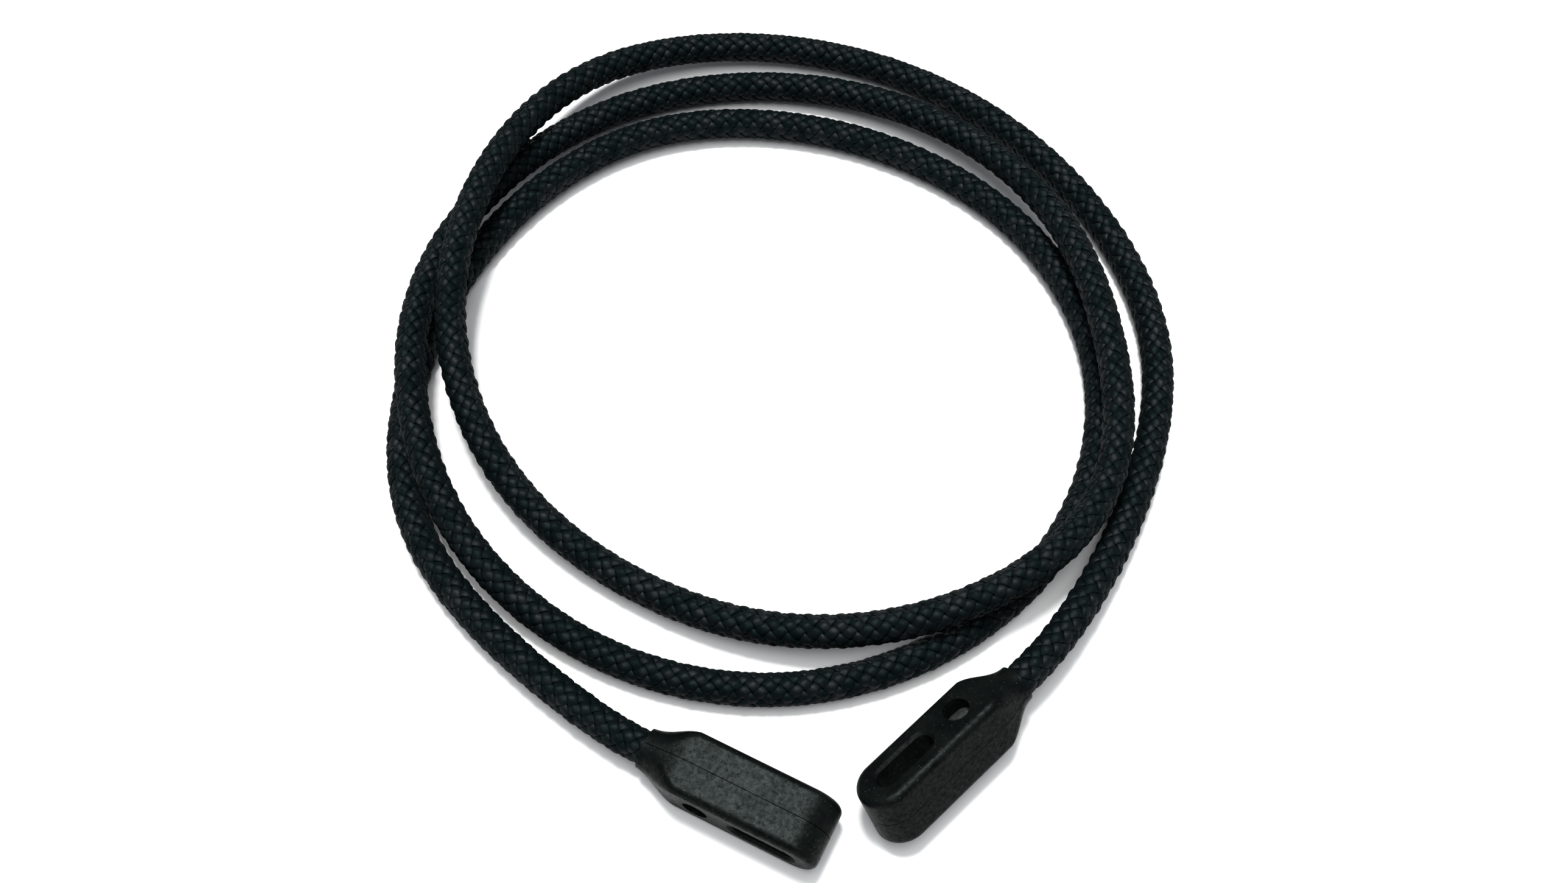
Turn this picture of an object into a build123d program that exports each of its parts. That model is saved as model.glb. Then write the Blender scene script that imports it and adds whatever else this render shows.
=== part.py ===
from build123d import *
from bisect import bisect_left
from math import cos, radians, sin
import os

# A braided cord strap with a slotted end fitting on each end, lying in a loose coil on a table.
# Millimetres. The origin is on the table top, in the middle of the ground the strap covers.
# +Z is up, and the two ends point towards -Y.

# ---- the cord
CORD_RADIUS = 2.5
SHEATH_WALL = 0.8
CORE_CLEARANCE = 0.05
SHEATH_BORE = CORD_RADIUS - SHEATH_WALL
CORE_RADIUS = SHEATH_BORE - CORE_CLEARANCE

# How the cord lies. Guide points stand every 30 degrees round the coil, clockwise seen from above,
# from the first one after the left end, and the cord's axis is the uniform cubic B-spline they pull.
# A lift of 0 leaves the cord on the table, and the others carry it over the turns it lies on.
COIL_MIDDLE = Vector(-0.16, 7.92, 0)
GUIDE_FIRST_ANGLE = 210
GUIDE_STEP = 30
GUIDE_RADII = [
    66, 58, 53, 50.5, 45.5, 44, 46.5, 50, 53, 55, 57,
    58, 59, 58.5, 58, 57.5, 54.5, 52, 50.5, 49.5, 57, 53,
    48.5, 45.5, 48.5, 52.5, 56, 66.5, 63, 60, 58.5, 60.5, 58.5,
]
GUIDE_LIFTS = [
    0, 0, 0, 0.5, 0, 0, 0, 0, 0, 0, 0,
    0, 2.5, 7, 2.5, 0, 0, 2, 4.5, 7, 5.5, 5.5,
    2, 0, 2, 7, 10, 2, 0.5, 0, 0, 0, 0,
]

# ---- the end fittings; each one's own X runs from neck to tip and its own Z along the slot
END_LENGTH = 27.3
END_WIDTH = 8.0
END_DEPTH = 9.0
EDGE_RADIUS = 1.1
NECK_LENGTH = 6.4
NECK_RADIUS = 2.8
FLARE_NEAR = (6.4, 6.7, 3.0)  # the flare's width, depth and corner radius a third of the way along
FLARE_FAR = (7.5, 8.2, 2.2)  # and two thirds of the way along
SEAM_GAP = 0.1
SLOT_START = 14.8
SLOT_LENGTH = 9.4
SLOT_WIDTH = 3.0
SLOT_EDGE = 0.4
WINDOW_PLACE = 9.8
WINDOW_RADIUS = 1.85
PEG_RADIUS = 0.6
PEG_HEIGHT = 1.2
PEG_CLEARANCE = 0.05
PEG_PLACES = [(13.5, 2.2), (13.5, -2.2), (25.7, 0)]

# ---- what holds the cord inside a fitting
MOUTH_LENGTH = 2.4
MOUTH_RADIUS = CORD_RADIUS + 0.1
CAVITY_END = 12.2
CAVITY_RADIUS = 2.9
FERRULE_START = 2.6
FERRULE_END = 11.8
FERRULE_OUTER = 2.85
FERRULE_INNER = CORD_RADIUS + 0.03
CORD_STOP = 10.6
FUSED_LENGTH = 1.2

# ---- where the cord flexes, measured along it from each fitting's neck
LIFT_PLACE = 10.0
SWING_PLACE = 25.0
BALL_CLEARANCE = 0.1
PIVOT_ROOM = CORD_RADIUS + BALL_CLEARANCE
PATH_PIECE = 50.0
POINT_STEP = 5.0

# Each fitting's neck, the way it points, and how far it is rolled about its own length.
LEFT_NECK = COIL_MIDDLE + Vector(-18.5, -63.0, END_WIDTH / 2)
LEFT_HEADING = -26.5
LEFT_ROLL = -90.0
RIGHT_NECK = COIL_MIDDLE + Vector(31.5, -54.5, 5.55)
RIGHT_HEADING = -137.0
RIGHT_ROLL = -33.5
GUIDE_LEAD = 9.0  # the cord is steered straight this far on each side of a neck


def heading_vector(heading):
    return Vector(cos(radians(heading)), sin(radians(heading)), 0)


def end_plane(neck, heading, roll):
    """A fitting's own frame: X to its tip, Z along its slot."""
    forward = heading_vector(heading)
    sideways = heading_vector(heading + 90)
    slot_way = Vector(0, 0, 1) * cos(radians(roll)) + sideways * sin(radians(roll))
    return Plane(origin=neck, x_dir=forward, z_dir=slot_way)


def guide_points():
    """Three points in line with each fitting, and the coil's own between them."""
    left = heading_vector(LEFT_HEADING) * GUIDE_LEAD
    right = heading_vector(RIGHT_HEADING) * GUIDE_LEAD
    points = [LEFT_NECK + left, LEFT_NECK, LEFT_NECK - left]
    for place, (radius, lift) in enumerate(zip(GUIDE_RADII, GUIDE_LIFTS)):
        across = heading_vector(GUIDE_FIRST_ANGLE - GUIDE_STEP * place) * radius
        points.append(COIL_MIDDLE + across + Vector(0, 0, CORD_RADIUS + lift))
    return points + [RIGHT_NECK - right, RIGHT_NECK, RIGHT_NECK + right]


GUIDES = guide_points()
SPANS = len(GUIDES) - 3


def spline_point(turn):
    """The cord's axis at a spline parameter from 0 to SPANS."""
    span = min(int(turn), SPANS - 1)
    u = turn - span
    shares = (
        (1 - u) ** 3 / 6,
        (3 * u**3 - 6 * u**2 + 4) / 6,
        (-3 * u**3 + 3 * u**2 + 3 * u + 1) / 6,
        u**3 / 6,
    )
    point = Vector(0, 0, 0)
    for share, guide in zip(shares, GUIDES[span : span + 4]):
        point += guide * share
    return point


def measured_spline(per_span=40):
    """Spline parameters with the length of cord from the left neck to each."""
    turns = [place / per_span for place in range(SPANS * per_span + 1)]
    lengths = [0.0]
    for before, after in zip(turns, turns[1:]):
        lengths.append(lengths[-1] + (spline_point(after) - spline_point(before)).length)
    return turns, lengths


TURNS, LENGTHS = measured_spline()
CORD_BETWEEN_NECKS = LENGTHS[-1]


def cord_point(distance):
    """The cord's axis at a distance from the left neck; it runs on straight inside both fittings."""
    if distance <= 0:
        return LEFT_NECK - heading_vector(LEFT_HEADING) * distance
    if distance >= CORD_BETWEEN_NECKS:
        return RIGHT_NECK + heading_vector(RIGHT_HEADING) * (distance - CORD_BETWEEN_NECKS)
    after = bisect_left(LENGTHS, distance)
    share = (distance - LENGTHS[after - 1]) / (LENGTHS[after] - LENGTHS[after - 1])
    return spline_point(TURNS[after - 1] + share * (TURNS[after] - TURNS[after - 1]))


def cord_direction(distance, reach=0.05):
    return (cord_point(distance + reach) - cord_point(distance - reach)).normalized()


def cord_path(start, end):
    """The cord's axis between two distances, as short splines that run smoothly into each other."""
    pieces = max(1, round((end - start) / PATH_PIECE))
    cuts = [start + (end - start) * place / pieces for place in range(pieces + 1)]
    splines = []
    for first, last in zip(cuts, cuts[1:]):
        count = max(2, round((last - first) / POINT_STEP))
        places = [first + (last - first) * step / count for step in range(count + 1)]
        slopes = [cord_direction(first), cord_direction(last)]
        splines.append(Spline(*[cord_point(place) for place in places], tangents=slopes))
    return Wire(splines)


def cross_section(distance):
    return Plane(origin=cord_point(distance), z_dir=cord_direction(distance))


def cord_solid(start, end, outer, inner=0.0):
    """A round rod, or a tube where inner isn't zero, along the cord's axis."""
    path = cord_path(start, end)
    faces = []
    for radius in (outer, inner):
        if radius:
            ring = Wire((cross_section(start) * Circle(radius)).edges())
            faces += Shell.sweep(ring, path).faces()
    for distance in (start, end):
        cap = Circle(outer) - Circle(inner) if inner else Circle(outer)
        faces += (cross_section(distance) * cap).faces()
    return Solid(Shell(faces))


def dome(distance, away, outer, inner=0.0):
    """A half ball, or half ball shell, on the cord's end, bulging along away."""
    place = Plane(origin=cord_point(distance), z_dir=away)
    standing = (Align.CENTER, Align.CENTER, Align.MIN)
    ball = Sphere(outer, arc_size1=0, align=standing)
    if inner:
        ball -= Sphere(inner, arc_size1=0, align=standing)
    return place * ball


def cord_piece(start, end, ball_at=None):
    """Sheath and core between two distances, with a round end where the piece pivots."""
    sheath = cord_solid(start, end, CORD_RADIUS, SHEATH_BORE)
    core = cord_solid(start, end, CORE_RADIUS)
    if ball_at is not None:
        away = cord_direction(ball_at) * (1 if ball_at > start else -1)
        sheath = Part() + sheath + dome(ball_at, away, CORD_RADIUS, SHEATH_BORE)
        core = Part() + core + dome(ball_at, away, CORE_RADIUS)
    return sheath, core


def rounded_section(place, width, depth, radius):
    return Plane(origin=(place, 0, 0), x_dir=(0, 1, 0), z_dir=(1, 0, 0)) * RectangleRounded(
        width, depth, radius
    )


def end_outside():
    """The whole moulding: a flared neck on a long body with a round nose and softened edges."""
    neck = loft(
        [
            rounded_section(0, 2 * NECK_RADIUS, 2 * NECK_RADIUS, NECK_RADIUS - 0.05),
            rounded_section(NECK_LENGTH / 3, *FLARE_NEAR),
            rounded_section(NECK_LENGTH * 2 / 3, *FLARE_FAR),
            rounded_section(NECK_LENGTH, END_WIDTH, END_DEPTH, EDGE_RADIUS),
        ]
    )
    nose_radius = END_WIDTH / 2
    straight = END_LENGTH - NECK_LENGTH - nose_radius
    outline = Pos(NECK_LENGTH + straight / 2, 0) * Rectangle(straight, END_WIDTH)
    outline += Pos(END_LENGTH - nose_radius, 0) * Circle(nose_radius)
    body = extrude(outline, amount=END_DEPTH / 2, both=True)
    rim = [
        edge
        for edge in body.edges()
        if abs(abs(edge.center().Z) - END_DEPTH / 2) < 0.01 and edge.center().X > NECK_LENGTH + 0.1
    ]
    return neck + fillet(rim, EDGE_RADIUS)


def slot_cut():
    middle = SLOT_START + SLOT_LENGTH / 2
    cut = extrude(Pos(middle, 0) * SlotOverall(SLOT_LENGTH, SLOT_WIDTH), amount=END_DEPTH, both=True)
    for side in (1, -1):
        mouth = Plane(origin=(middle, 0, side * END_DEPTH / 2), z_dir=(0, 0, side))
        wide = SlotOverall(SLOT_LENGTH + 2 * SLOT_EDGE, SLOT_WIDTH + 2 * SLOT_EDGE)
        cut += extrude(mouth * wide, amount=-SLOT_EDGE, taper=45)
    return cut


def window_cut():
    return Pos(WINDOW_PLACE, 0, 0) * Cylinder(WINDOW_RADIUS, 2 * END_DEPTH)


def along(start, end, radius):
    """A rod on the fitting's own X axis."""
    rod = Cylinder(radius, end - start, rotation=(0, 90, 0))
    return Pos((start + end) / 2, 0, 0) * rod


def peg_group(radius, height):
    pegs = Part()
    for x, y in PEG_PLACES:
        pegs += Pos(x, y, height / 2) * Cylinder(radius, height)
    return pegs


def end_shells():
    """Front (slot side up) and back halves of the moulding, parted at mid depth."""
    whole = end_outside() - slot_cut() - window_cut()
    whole -= along(-1, MOUTH_LENGTH + 0.1, MOUTH_RADIUS)
    whole -= along(MOUTH_LENGTH, CAVITY_END, CAVITY_RADIUS)
    half_box = Box(4 * END_LENGTH, 4 * END_WIDTH, END_DEPTH)
    lift = (END_DEPTH + SEAM_GAP) / 2
    front = whole & Pos(0, 0, lift) * half_box
    back = whole & Pos(0, 0, -lift) * half_box
    front -= peg_group(PEG_RADIUS + PEG_CLEARANCE, PEG_HEIGHT + PEG_CLEARANCE)
    back += Pos(0, 0, -SEAM_GAP) * peg_group(PEG_RADIUS, PEG_HEIGHT + SEAM_GAP)
    return front, back


def ferrule():
    """A crimped sleeve, too wide to pull back through the neck's mouth."""
    return along(FERRULE_START, FERRULE_END, FERRULE_OUTER) - along(0, END_LENGTH, FERRULE_INNER)


def fused_tip():
    """The heat-sealed end of the sheath and core."""
    start = CORD_STOP + CORE_CLEARANCE
    return along(start, start + FUSED_LENGTH, CORD_RADIUS)


def build_end(side, plane):
    """One fitting's four pieces, moved to where it lies."""
    front, back = end_shells()
    pieces = {
        f"{side}_front_shell": front,
        f"{side}_back_shell": back,
        f"{side}_ferrule": ferrule(),
        f"{side}_fused_tip": fused_tip(),
    }
    return {name: plane.location * piece for name, piece in pieces.items()}


def build_cord():
    """Sheath and core of the coil, of each free tail and of each length that enters a fitting.

    A length starts with a round end at its own pivot, and the one before it stops short of that.
    """
    far = CORD_BETWEEN_NECKS
    lengths = {
        "coil": (SWING_PLACE + PIVOT_ROOM, far - SWING_PLACE - PIVOT_ROOM, None),
        "left_tail": (LIFT_PLACE + PIVOT_ROOM, SWING_PLACE, SWING_PLACE),
        "left_end": (-CORD_STOP, LIFT_PLACE, LIFT_PLACE),
        "right_tail": (far - SWING_PLACE, far - LIFT_PLACE - PIVOT_ROOM, far - SWING_PLACE),
        "right_end": (far - LIFT_PLACE, far + CORD_STOP, far - LIFT_PLACE),
    }
    pieces = {}
    for name, (start, end, ball_at) in lengths.items():
        sheath, core = cord_piece(start, end, ball_at)
        pieces[f"{name}_sheath"] = sheath
        pieces[f"{name}_core"] = core
    return pieces


def main():
    os.makedirs("parts", exist_ok=True)
    pieces = build_cord()
    pieces.update(build_end("left", end_plane(LEFT_NECK, LEFT_HEADING, LEFT_ROLL)))
    pieces.update(build_end("right", end_plane(RIGHT_NECK, RIGHT_HEADING, RIGHT_ROLL)))
    for name, piece in pieces.items():
        export_step(piece, f"parts/{name}.step")


main()
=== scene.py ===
"""A loosely coiled braided cord with a slotted moulded end at each end, dressed over its CAD frame.

The cord is shown yarn by yarn: a tubular diamond braid of twelve flat yarns round a dark
liner. The moulded ends, their ferrules and the fused tips are the CAD nodes themselves,
given a surface. Lengths are in millimetres until a mesh is made, apart from the stage's,
which are in metres. The frame is the CAD's: Z is up from the table, and the two ends
point towards -Y.
"""

import math

import bpy
import numpy as np
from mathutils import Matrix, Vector

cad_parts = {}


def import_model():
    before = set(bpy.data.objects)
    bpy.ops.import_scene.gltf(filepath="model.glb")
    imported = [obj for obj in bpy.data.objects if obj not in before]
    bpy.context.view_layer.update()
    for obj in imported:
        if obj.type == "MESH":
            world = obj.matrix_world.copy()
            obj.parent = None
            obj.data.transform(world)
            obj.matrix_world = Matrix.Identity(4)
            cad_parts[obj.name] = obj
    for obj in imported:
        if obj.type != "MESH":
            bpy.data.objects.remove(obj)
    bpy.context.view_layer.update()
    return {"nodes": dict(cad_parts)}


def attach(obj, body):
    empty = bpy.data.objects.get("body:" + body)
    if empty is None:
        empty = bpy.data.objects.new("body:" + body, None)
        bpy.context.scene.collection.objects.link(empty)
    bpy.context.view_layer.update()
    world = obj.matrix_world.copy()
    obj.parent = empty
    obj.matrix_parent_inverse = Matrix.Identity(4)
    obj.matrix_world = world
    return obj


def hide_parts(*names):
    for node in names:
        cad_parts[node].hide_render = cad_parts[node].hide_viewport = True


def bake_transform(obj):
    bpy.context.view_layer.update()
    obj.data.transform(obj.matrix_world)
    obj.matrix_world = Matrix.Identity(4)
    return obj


MM = 0.001

# ---- the cord, as the CAD lays it -------------------------------------------------------
# The guide values repeat the CAD's own, so a change to the coil there is made here as well.
COIL_MIDDLE = (-0.16, 7.92)  # what the guide points stand round, on the table
GUIDE_FIRST_ANGLE = 210.0   # degrees round from +X to the first guide point
GUIDE_STEP = 30.0           # each later one is this much further clockwise, seen from above
GUIDE_RADII = [
    66.0, 58.0, 53.0, 50.5, 45.5, 44.0, 46.5, 50.0, 53.0, 55.0, 57.0,
    58.0, 59.0, 58.5, 58.0, 57.5, 54.5, 52.0, 50.5, 49.5, 57.0, 53.0,
    48.5, 45.5, 48.5, 52.5, 56.0, 66.5, 63.0, 60.0, 58.5, 60.5, 58.5,
]
GUIDE_HEIGHTS = [
    2.5, 2.5, 2.5, 3.0, 2.5, 2.5, 2.5, 2.5, 2.5, 2.5, 2.5,
    2.5, 5.0, 9.5, 5.0, 2.5, 2.5, 4.5, 7.0, 9.5, 8.0, 8.0,
    4.5, 2.5, 4.5, 9.5, 12.5, 4.5, 3.0, 2.5, 2.5, 2.5, 2.5,
]
GUIDE_LEAD = 9.0            # a guide point stands this far on each side of a neck, in line with its end
LEFT_NECK = (-18.5, -63.0, 4.0)
LEFT_HEADING = -26.5        # which way an end points, in degrees round from +X
RIGHT_NECK = (31.5, -54.5, 5.55)
RIGHT_HEADING = -137.0
CORD_STOP = 10.2            # how far the braid runs into an end
CURVE_POINTS = 12000        # points on the curve before it is read by distance
LINE_STEP = 0.25            # spacing of the points that the line is then read from
LINE_SPARE = 4.0            # how far they run past the braid at each end

LIFT_PLACE = 10.0           # two places along the cord from an end's neck, each between two of the braid's cuts
SWING_PLACE = 25.0
LIFT_REACH = 6.0            # points are read off the line this far on each side of such a place
SWING_REACH = 8.0
LIFT_PIECE_END = 16.5       # where the braid is cut between the two places, and beyond them
SWING_PIECE_END = 33.5
COIL_PIECES = 6

# ---- the camera, above and in front of the coil -----------------------------------------
CAMERA_RISE = 62.0          # degrees above the table
CAMERA_REACH = 230.0        # from the table point it looks at
AIM_BEFORE_MIDDLE = 14.5    # how far that point lies in front of the coil's middle
LENS = 35.0                 # focal length
SENSOR = 36.0               # width of the film behind it

# ---- the stage, in metres ---------------------------------------------------------------
TABLE_HALF = 0.9
TABLE_TOP = -0.00005        # a hair under the object, so that nothing lies in its plane
ROOM_GLOW = 0.24            # how brightly the room lights the object
ROOM_SEEN = 0.90            # and how bright it looks behind the table

# ---- the braid --------------------------------------------------------------------------
CORD_RADIUS = 2.5
YARNS_EACH_WAY = 6
BRAID_LEAD = 14.1           # cord length in which a yarn goes once round
YARN_WIDTH = 1.50
YARN_DEPTH = 0.50
YARN_WAVE = 0.20            # how far a yarn rises over and dips under the others
YARN_SLACK = 0.03           # comes off the middle radius and off each yarn, to keep all inside the cord
YARN_MIDDLE = CORD_RADIUS - YARN_WAVE - YARN_DEPTH / 2 - YARN_SLACK
LONG_UNEVENNESS = 0.03      # how far a yarn strays from its height over a long stretch
SHORT_UNEVENNESS = 0.02     # and over a short one
STEPS_PER_CROSSING = 5
TOP_POINTS = 6              # points over a yarn's visible side, both edges included
UNDER_POINTS = (0.33, 0.67)  # where the points of its hidden side stand, as shares of that side
LINER_RADIUS = 1.62
LINER_POINTS = 12
LINER_STEP = 2.0


# ---- the cord's line --------------------------------------------------------------------
def heading_vector(angle):
    """A level unit vector this many degrees round from +X."""
    turn = math.radians(angle)
    return np.array([math.cos(turn), math.sin(turn), 0.0])


def guide_points():
    """The points that steer the cord, from the left neck's lead to the right neck's."""
    middle = np.array([*COIL_MIDDLE, 0.0])
    left = middle + np.array(LEFT_NECK)
    left_lead = heading_vector(LEFT_HEADING) * GUIDE_LEAD
    right = middle + np.array(RIGHT_NECK)
    right_lead = heading_vector(RIGHT_HEADING) * GUIDE_LEAD
    points = [left + left_lead, left, left - left_lead]
    for k, (radius, height) in enumerate(zip(GUIDE_RADII, GUIDE_HEIGHTS)):
        level = heading_vector(GUIDE_FIRST_ANGLE - GUIDE_STEP * k) * radius
        points.append(middle + level + np.array([0.0, 0.0, height]))
    points += [right - right_lead, right, right + right_lead]
    return np.array(points)


def spline_points(guides, turns):
    """Uniform cubic B-spline points at these parameter values, one span for each whole number."""
    last = len(guides) - 4
    span = np.clip(turns.astype(int), 0, last)
    u = turns - span
    weights = (
        (1 - u) ** 3 / 6,
        (3 * u ** 3 - 6 * u ** 2 + 4) / 6,
        (-3 * u ** 3 + 3 * u ** 2 + 3 * u + 1) / 6,
        u ** 3 / 6,
    )
    return sum(w[:, None] * guides[span + k] for k, w in enumerate(weights))


def unit(vectors):
    """The same directions at length 1."""
    return vectors / np.linalg.norm(vectors, axis=-1, keepdims=True)


class CordLine:
    """The cord's axis by distance from the left neck, with a frame that doesn't twist along it."""

    def __init__(self):
        guides = guide_points()
        turns = np.linspace(0.0, len(guides) - 3, CURVE_POINTS)
        curve = spline_points(guides, turns)
        run = np.concatenate([[0.0], np.cumsum(np.linalg.norm(np.diff(curve, axis=0), axis=1))])
        self.length = run[-1]
        beyond = CORD_STOP + LINE_SPARE
        self.at = np.arange(-beyond, self.length + beyond, LINE_STEP)
        inside = np.clip(self.at, 0.0, self.length)
        self.middle = np.stack([np.interp(inside, run, curve[:, k]) for k in range(3)], axis=1)
        before = np.minimum(self.at, 0.0)
        after = np.maximum(self.at - self.length, 0.0)
        self.middle -= np.outer(before, heading_vector(LEFT_HEADING))
        self.middle += np.outer(after, heading_vector(RIGHT_HEADING))
        self.forward = unit(np.gradient(self.middle, axis=0))
        self.normal = self.carried_normals()
        self.binormal = np.cross(self.forward, self.normal)

    def carried_normals(self):
        """A normal carried along the cord with no twist."""
        normals = np.zeros_like(self.middle)
        normal = np.array([0.0, 0.0, 1.0])
        for k, forward in enumerate(self.forward):
            normal = normal - forward * normal.dot(forward)
            normal = normal / np.linalg.norm(normal)
            normals[k] = normal
        return normals

    def read(self, vectors, distance):
        """One of the line's sets of vectors, at these distances from the left neck."""
        return np.stack([np.interp(distance, self.at, vectors[:, k]) for k in range(3)], axis=-1)

    def point(self, distance):
        """The axis point at this distance from the left neck, in metres."""
        return Vector(self.read(self.middle, np.array([distance]))[0] * MM)

    def around(self, distance, angle, radius):
        """Points at this angle and radius round the axis."""
        middle = self.read(self.middle, distance)
        normal = unit(self.read(self.normal, distance))
        binormal = unit(self.read(self.binormal, distance))
        out = np.cos(angle)[..., None] * normal + np.sin(angle)[..., None] * binormal
        return middle + out * radius[..., None]


# ---- the braid's meshes -----------------------------------------------------------------
def yarn_section():
    """Across and outward offsets round a yarn's section, its visible side first."""
    top = np.linspace(0.0, math.pi, TOP_POINTS)
    bottom = math.pi + np.array(UNDER_POINTS) * math.pi
    angle = np.concatenate([top, bottom])
    return np.cos(angle) * YARN_WIDTH / 2, np.sin(angle) * YARN_DEPTH / 2


def strip_faces(rows, columns, first):
    """Quads of a closed strip: rows along it, columns round it."""
    row = np.arange(rows - 1)[:, None] * columns
    column = np.arange(columns)
    beside = (column + 1) % columns
    after = row + columns
    quads = np.stack([row + column, row + beside, after + beside, after + column], axis=-1)
    return quads.reshape(-1, 4) + first


def yarn(line, start, end, way, place):
    """One yarn between two distances: its points, and where each lies across and along it."""
    crossing = BRAID_LEAD / (2 * YARNS_EACH_WAY)
    steps = max(2, round((end - start) / crossing * STEPS_PER_CROSSING))
    along = np.linspace(start, end, steps + 1)
    angle = way * 2 * math.pi * along / BRAID_LEAD + 2 * math.pi * place / YARNS_EACH_WAY
    rise = YARN_WAVE * way * np.cos(math.pi * along / crossing)
    uneven = LONG_UNEVENNESS * np.sin(along * 0.83 + place * 2.1 + way)
    uneven = uneven + SHORT_UNEVENNESS * np.sin(along * 2.37 + place * 4.7)
    lean = math.atan(2 * math.pi * YARN_MIDDLE / BRAID_LEAD)
    across, outward = yarn_section()
    distance = along[:, None] - way * across[None, :] * math.sin(lean)
    around = angle[:, None] + across[None, :] * math.cos(lean) / YARN_MIDDLE
    radius = YARN_MIDDLE + (rise + uneven - YARN_SLACK)[:, None] + outward[None, :]
    points = line.around(distance, around, radius)
    length = along / math.cos(lean)
    place_across = np.broadcast_to(across, distance.shape)
    place_along = np.broadcast_to(length[:, None], distance.shape)
    return points, np.stack([place_across, place_along], axis=-1)


def liner(line, start, end):
    """The dark tube inside the braid."""
    steps = max(2, round((end - start) / LINER_STEP))
    along = np.linspace(start, end, steps + 1)
    angle = np.arange(LINER_POINTS) * 2 * math.pi / LINER_POINTS
    distance, around = np.meshgrid(along, angle, indexing="ij")
    points = line.around(distance, around, np.full(distance.shape, LINER_RADIUS))
    return points, np.stack([around * LINER_RADIUS, distance], axis=-1)


def braid_piece(name, line, start, end, materials):
    """A mesh of the cord between two distances, all its yarns and its liner."""
    strips = []
    for way in (1, -1):
        for place in range(YARNS_EACH_WAY):
            strips.append(yarn(line, start, end, way, place))
    strips.append(liner(line, start, end))
    points, faces, fibre, slots = [], [], [], []
    count = 0
    for index, (strip, place) in enumerate(strips):
        rows, columns = strip.shape[:2]
        quads = strip_faces(rows, columns, count)
        points.append(strip.reshape(-1, 3))
        fibre.append(place.reshape(-1, 2))
        faces.append(quads)
        slots.append(np.full(len(quads), int(index == len(strips) - 1)))
        count += rows * columns
    return mesh_object(
        name, np.concatenate(points), np.concatenate(faces), np.concatenate(fibre),
        np.concatenate(slots), materials,
    )


def mesh_object(name, points, faces, fibre, slots, materials):
    """A smooth quad mesh with a layer that says where each corner lies along its yarn."""
    mesh = bpy.data.meshes.new(name)
    mesh.vertices.add(len(points))
    mesh.vertices.foreach_set("co", (points * MM).astype(np.float32).ravel())
    mesh.loops.add(faces.size)
    mesh.loops.foreach_set("vertex_index", faces.astype(np.int32).ravel())
    mesh.polygons.add(len(faces))
    mesh.polygons.foreach_set("loop_start", np.arange(0, faces.size, 4, dtype=np.int32))
    mesh.polygons.foreach_set("material_index", slots.astype(np.int32))
    mesh.polygons.foreach_set("use_smooth", np.ones(len(faces), bool))
    for material in materials:
        mesh.materials.append(material)
    layer = mesh.uv_layers.new(name="fibre")
    layer.data.foreach_set("uv", fibre[faces.ravel()].astype(np.float32).ravel())
    mesh.update(calc_edges=True)
    piece = bpy.data.objects.new(name, mesh)
    bpy.context.scene.collection.objects.link(piece)
    return piece


# ---- materials --------------------------------------------------------------------------
def new_material(name):
    """An empty node material and a helper that adds nodes to it."""
    material = bpy.data.materials.new(name)
    material.use_nodes = True
    tree = material.node_tree
    shader = tree.nodes["Principled BSDF"]

    def add(kind, **inputs):
        node = tree.nodes.new(kind)
        for key, value in inputs.items():
            node.inputs[key.replace("_", " ")].default_value = value
        return node

    return material, tree, shader, add


def ramp_colours(node, stops):
    """Sets a colour ramp to these (place, grey or colour) stops."""
    ramp = node.color_ramp
    while len(ramp.elements) < len(stops):
        ramp.elements.new(0.5)
    for element, (place, colour) in zip(ramp.elements, stops):
        element.position = place
        rgb = colour if isinstance(colour, tuple) else (colour, colour, colour)
        element.color = (*rgb, 1.0)


def faded_shine(tree, add, shine, steep, left):
    """A shine that fades as the surface turns away from the viewer, to the share left where it is steep."""
    glance = add("ShaderNodeLayerWeight", Blend=0.5)
    fade = add("ShaderNodeMapRange", From_Min=0.15, From_Max=steep, To_Min=1.0, To_Max=left)
    level = add("ShaderNodeMath")
    level.operation = "MULTIPLY"
    tree.links.new(glance.outputs["Facing"], fade.inputs["Value"])
    tree.links.new(fade.outputs["Result"], level.inputs[0])
    tree.links.new(shine, level.inputs[1])
    return level.outputs["Value"]


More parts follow.
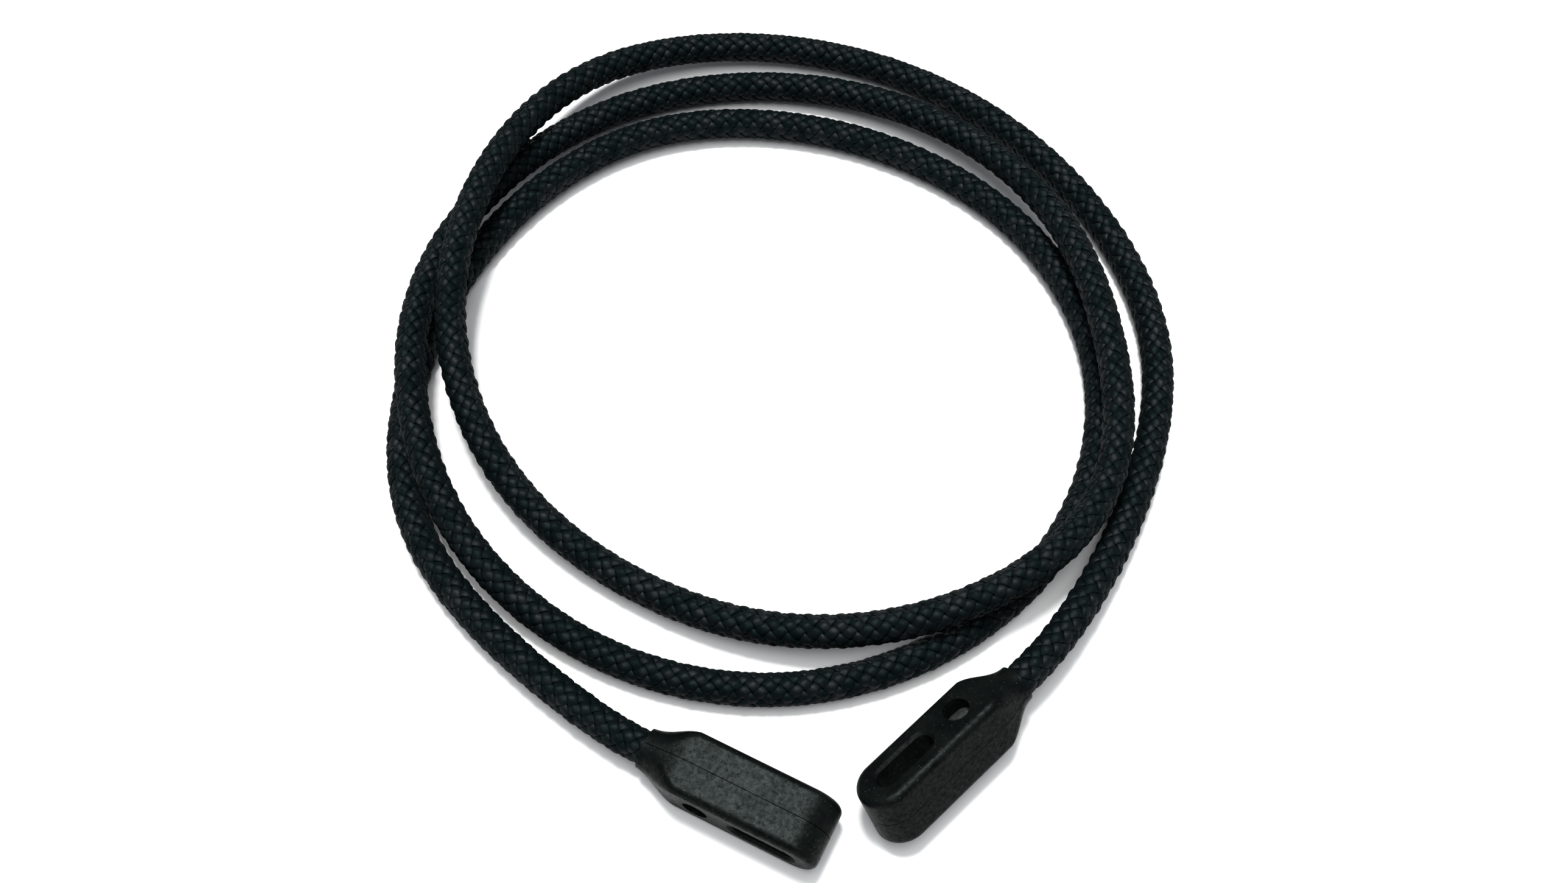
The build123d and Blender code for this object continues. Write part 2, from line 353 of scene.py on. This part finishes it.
def yarn_material():
    """Near-black filament yarn: fine fibres along it, an uneven low shine, and faint blue-green."""
    material, tree, shader, add = new_material("braid_yarn")
    place = add("ShaderNodeUVMap")
    place.uv_map = "fibre"
    stretch = add("ShaderNodeMapping")
    stretch.inputs["Scale"].default_value = (9.0, 0.7, 1.0)
    fibres = add("ShaderNodeTexNoise", Scale=2.2, Detail=4.0, Roughness=0.6)
    tree.links.new(place.outputs["UV"], stretch.inputs["Vector"])
    tree.links.new(stretch.outputs["Vector"], fibres.inputs["Vector"])
    tint = add("ShaderNodeValToRGB")
    ramp_colours(tint, [(0.30, (0.0010, 0.0018, 0.0020)), (0.72, (0.0038, 0.0066, 0.0072))])
    tree.links.new(fibres.outputs["Fac"], tint.inputs["Fac"])
    tree.links.new(tint.outputs["Color"], shader.inputs["Base Color"])
    bump = add("ShaderNodeBump", Strength=0.55, Distance=0.00006)
    tree.links.new(fibres.outputs["Fac"], bump.inputs["Height"])
    tree.links.new(bump.outputs["Normal"], shader.inputs["Normal"])
    spot = add("ShaderNodeTexCoord")
    wear = add("ShaderNodeTexNoise", Scale=480.0, Detail=2.0)
    shine = add("ShaderNodeMapRange", From_Min=0.35, From_Max=0.65, To_Min=0.025, To_Max=0.12)
    cast = add("ShaderNodeValToRGB")
    ramp_colours(cast, [(0.40, (0.60, 1.0, 0.98)), (0.60, (0.92, 0.96, 1.05))])
    tree.links.new(spot.outputs["Object"], wear.inputs["Vector"])
    tree.links.new(wear.outputs["Fac"], shine.inputs["Value"])
    tree.links.new(wear.outputs["Fac"], cast.inputs["Fac"])
    level = faded_shine(tree, add, shine.outputs["Result"], steep=0.80, left=0.0)
    tree.links.new(level, shader.inputs["Specular IOR Level"])
    tree.links.new(cast.outputs["Color"], shader.inputs["Specular Tint"])
    shader.inputs["Roughness"].default_value = 0.42
    return material


def liner_material():
    """The dark liner seen through the braid's gaps."""
    material, tree, shader, add = new_material("braid_core")
    place = add("ShaderNodeTexCoord")
    grain = add("ShaderNodeTexNoise", Scale=1800.0, Detail=2.0)
    tint = add("ShaderNodeValToRGB")
    ramp_colours(tint, [(0.3, (0.003, 0.0035, 0.004)), (0.7, (0.007, 0.008, 0.009))])
    tree.links.new(place.outputs["Object"], grain.inputs["Vector"])
    tree.links.new(grain.outputs["Fac"], tint.inputs["Fac"])
    tree.links.new(tint.outputs["Color"], shader.inputs["Base Color"])
    shader.inputs["Roughness"].default_value = 0.9
    shader.inputs["Specular IOR Level"].default_value = 0.1
    return material


def moulded_material():
    """Matte black plastic with a fine spark-eroded grain and a few paler specks."""
    material, tree, shader, add = new_material("moulded_plastic")
    place = add("ShaderNodeTexCoord")
    grain = add("ShaderNodeTexNoise", Scale=1700.0, Detail=5.0, Roughness=0.7)
    clouds = add("ShaderNodeTexNoise", Scale=260.0, Detail=3.0)
    specks = add("ShaderNodeTexVoronoi", Scale=1500.0)
    for texture in (grain, clouds, specks):
        tree.links.new(place.outputs["Object"], texture.inputs["Vector"])
    tint = add("ShaderNodeValToRGB")
    ramp_colours(tint, [(0.35, (0.0014, 0.0020, 0.0019)), (0.75, (0.0034, 0.0046, 0.0043))])
    tree.links.new(clouds.outputs["Fac"], tint.inputs["Fac"])
    speck_size = add("ShaderNodeValToRGB")
    ramp_colours(speck_size, [(0.0, 1.0), (0.14, 0.0)])
    tree.links.new(specks.outputs["Distance"], speck_size.inputs["Fac"])
    mix = add("ShaderNodeMix")
    mix.data_type = "RGBA"
    mix.inputs["B"].default_value = (0.10, 0.11, 0.108, 1.0)
    share = add("ShaderNodeMath")
    share.operation = "MULTIPLY"
    share.inputs[1].default_value = 0.5
    tree.links.new(speck_size.outputs["Color"], share.inputs[0])
    tree.links.new(share.outputs["Value"], mix.inputs["Factor"])
    tree.links.new(tint.outputs["Color"], mix.inputs["A"])
    tree.links.new(mix.outputs["Result"], shader.inputs["Base Color"])
    shine = add("ShaderNodeMapRange", From_Min=0.3, From_Max=0.7, To_Min=0.01, To_Max=0.135)
    tree.links.new(grain.outputs["Fac"], shine.inputs["Value"])
    level = faded_shine(tree, add, shine.outputs["Result"], steep=0.50, left=0.45)
    tree.links.new(level, shader.inputs["Specular IOR Level"])
    shader.inputs["Specular Tint"].default_value = (0.84, 1.0, 0.96, 1.0)
    rough = add("ShaderNodeMapRange", To_Min=0.30, To_Max=0.50)
    tree.links.new(clouds.outputs["Fac"], rough.inputs["Value"])
    tree.links.new(rough.outputs["Result"], shader.inputs["Roughness"])
    bump = add("ShaderNodeBump", Strength=0.8, Distance=0.00006)
    tree.links.new(grain.outputs["Fac"], bump.inputs["Height"])
    tree.links.new(bump.outputs["Normal"], shader.inputs["Normal"])
    return material


def ferrule_material():
    """The dull sleeve on the cord inside an end, seen through the round windows."""
    material, tree, shader, add = new_material("crimp_sleeve")
    place = add("ShaderNodeTexCoord")
    scratches = add("ShaderNodeTexNoise", Scale=1400.0, Detail=3.0)
    tint = add("ShaderNodeValToRGB")
    ramp_colours(tint, [(0.3, (0.030, 0.036, 0.034)), (0.7, (0.080, 0.090, 0.086))])
    tree.links.new(place.outputs["Object"], scratches.inputs["Vector"])
    tree.links.new(scratches.outputs["Fac"], tint.inputs["Fac"])
    tree.links.new(tint.outputs["Color"], shader.inputs["Base Color"])
    bump = add("ShaderNodeBump", Strength=0.3, Distance=0.00003)
    tree.links.new(scratches.outputs["Fac"], bump.inputs["Height"])
    tree.links.new(bump.outputs["Normal"], shader.inputs["Normal"])
    shader.inputs["Metallic"].default_value = 0.7
    shader.inputs["Roughness"].default_value = 0.5
    return material


def fused_material():
    """The melted cord tip."""
    material, tree, shader, add = new_material("fused_tip")
    place = add("ShaderNodeTexCoord")
    lumps = add("ShaderNodeTexNoise", Scale=900.0, Detail=2.0)
    bump = add("ShaderNodeBump", Strength=0.5, Distance=0.0001)
    tree.links.new(place.outputs["Object"], lumps.inputs["Vector"])
    tree.links.new(lumps.outputs["Fac"], bump.inputs["Height"])
    tree.links.new(bump.outputs["Normal"], shader.inputs["Normal"])
    shader.inputs["Base Color"].default_value = (0.010, 0.010, 0.011, 1.0)
    shader.inputs["Roughness"].default_value = 0.3
    return material


def floor_material():
    """A plain pale table top."""
    material, tree, shader, add = new_material("pale_table")
    place = add("ShaderNodeTexCoord")
    grain = add("ShaderNodeTexNoise", Scale=40.0, Detail=2.0)
    tint = add("ShaderNodeValToRGB")
    ramp_colours(tint, [(0.3, 0.86), (0.7, 0.88)])
    tree.links.new(place.outputs["Object"], grain.inputs["Vector"])
    tree.links.new(grain.outputs["Fac"], tint.inputs["Fac"])
    tree.links.new(tint.outputs["Color"], shader.inputs["Base Color"])
    shader.inputs["Roughness"].default_value = 0.8
    return material


# ---- the cord's pieces ------------------------------------------------------------------
def build_coil(line, materials):
    """The coil's braid, in lengths, all of it moving with the coil."""
    cuts = np.linspace(SWING_PIECE_END, line.length - SWING_PIECE_END, COIL_PIECES + 1)
    for number, (start, end) in enumerate(zip(cuts[:-1], cuts[1:]), 1):
        piece = braid_piece(f"coil_braid_{number}", line, start, end, materials)
        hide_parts("coil_sheath", "coil_core")
        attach(piece, "coil")


def build_cord_end(side, line, materials):
    """The two lengths of braid behind one moulded end, cut at places along the cord."""
    def at(distance):
        return distance if side == "left" else line.length - distance

    tail, tip = f"{side}_tail", f"{side}_end"
    swing_cuts, lift_cuts = (LIFT_PIECE_END, SWING_PIECE_END), (-CORD_STOP, LIFT_PIECE_END)
    spans = (
        ("swing", swing_cuts, SWING_PLACE, SWING_REACH, ("coil", tail), ("tail",)),
        ("lift", lift_cuts, LIFT_PLACE, LIFT_REACH, (tail, tip), ("tail", "end")),
    )
    for name, cuts, hinge, reach, bodies, stands_for in spans:
        start, end = sorted(at(cut) for cut in cuts)
        piece = braid_piece(f"{side}_{name}_braid", line, start, end, materials)
        for part in stands_for:
            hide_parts(f"{side}_{part}_sheath", f"{side}_{part}_core")
        bend_start = line.point(at(hinge + reach))
        bend_end = line.point(at(hinge - reach))
        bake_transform(piece)


def dress_nodes(frame):
    """Gives the CAD nodes that are shown their surfaces."""
    surfaces = {
        "front_shell": moulded_material(),
        "ferrule": ferrule_material(),
        "fused_tip": fused_material(),
    }
    surfaces["back_shell"] = surfaces["front_shell"]
    for name, node in frame["nodes"].items():
        for ending, material in surfaces.items():
            if name.endswith(ending):
                node.data.materials.clear()
                node.data.materials.append(material)


# ---- the stage --------------------------------------------------------------------------
def build_floor():
    """A wide square table top under the object."""
    mesh = bpy.data.meshes.new("table")
    signs = ((-1, -1), (1, -1), (1, 1), (-1, 1))
    corners = [(x * TABLE_HALF, y * TABLE_HALF, TABLE_TOP) for x, y in signs]
    mesh.from_pydata(corners, [], [(0, 1, 2, 3)])
    mesh.materials.append(floor_material())
    floor = bpy.data.objects.new("table", mesh)
    bpy.context.scene.collection.objects.link(floor)


def soft_light(name, place, target, size, power):
    """A square lamp that faces a point, in metres and watts."""
    lamp = bpy.data.lights.new(name, "AREA")
    lamp.size = size
    lamp.energy = power
    holder = bpy.data.objects.new(name, lamp)
    holder.location = place
    holder.rotation_euler = (Vector(target) - Vector(place)).to_track_quat("-Z", "Y").to_euler()
    bpy.context.scene.collection.objects.link(holder)


def build_lights():
    """A broad lamp overhead and a small one behind it, in a room that glows less than it looks."""
    soft_light("overhead", place=(0.0, -0.10, 1.50), target=(0.0, 0.0, 0.0), size=1.25, power=17.0)
    soft_light("behind", place=(-0.09, 0.34, 1.38), target=(0.0, -0.05, 0.0), size=0.25, power=23.0)
    world = bpy.data.worlds.new("pale_room")
    world.use_nodes = True
    tree = world.node_tree
    room = tree.nodes["Background"]
    room.inputs["Color"].default_value = (0.9, 0.95, 1.0, 1.0)
    seen = tree.nodes.new("ShaderNodeLightPath")
    strength = tree.nodes.new("ShaderNodeMapRange")
    strength.inputs["To Min"].default_value = ROOM_GLOW
    strength.inputs["To Max"].default_value = ROOM_SEEN
    tree.links.new(seen.outputs["Is Camera Ray"], strength.inputs["Value"])
    tree.links.new(strength.outputs["Result"], room.inputs["Strength"])
    bpy.context.scene.world = world
    bpy.context.scene.view_settings.view_transform = "Standard"


def build_camera():
    """A camera above and in front of the coil, looking down on it."""
    rise = math.radians(CAMERA_RISE)
    reach = CAMERA_REACH * MM
    target = Vector((COIL_MIDDLE[0], COIL_MIDDLE[1] - AIM_BEFORE_MIDDLE, 0.0)) * MM
    back = Vector((0.0, -math.cos(rise), math.sin(rise)))
    data = bpy.data.cameras.new("camera")
    data.lens = LENS
    data.sensor_width = SENSOR
    data.clip_start = 0.01
    camera = bpy.data.objects.new("camera", data)
    camera.location = target + back * reach
    camera.rotation_euler = (-back).to_track_quat("-Z", "Y").to_euler()
    bpy.context.scene.collection.objects.link(camera)
    bpy.context.scene.camera = camera


def main():
    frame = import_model()
    line = CordLine()
    materials = [yarn_material(), liner_material()]
    build_coil(line, materials)
    for side in ("left", "right"):
        build_cord_end(side, line, materials)
    dress_nodes(frame)
    build_floor()
    build_lights()
    build_camera()


main()
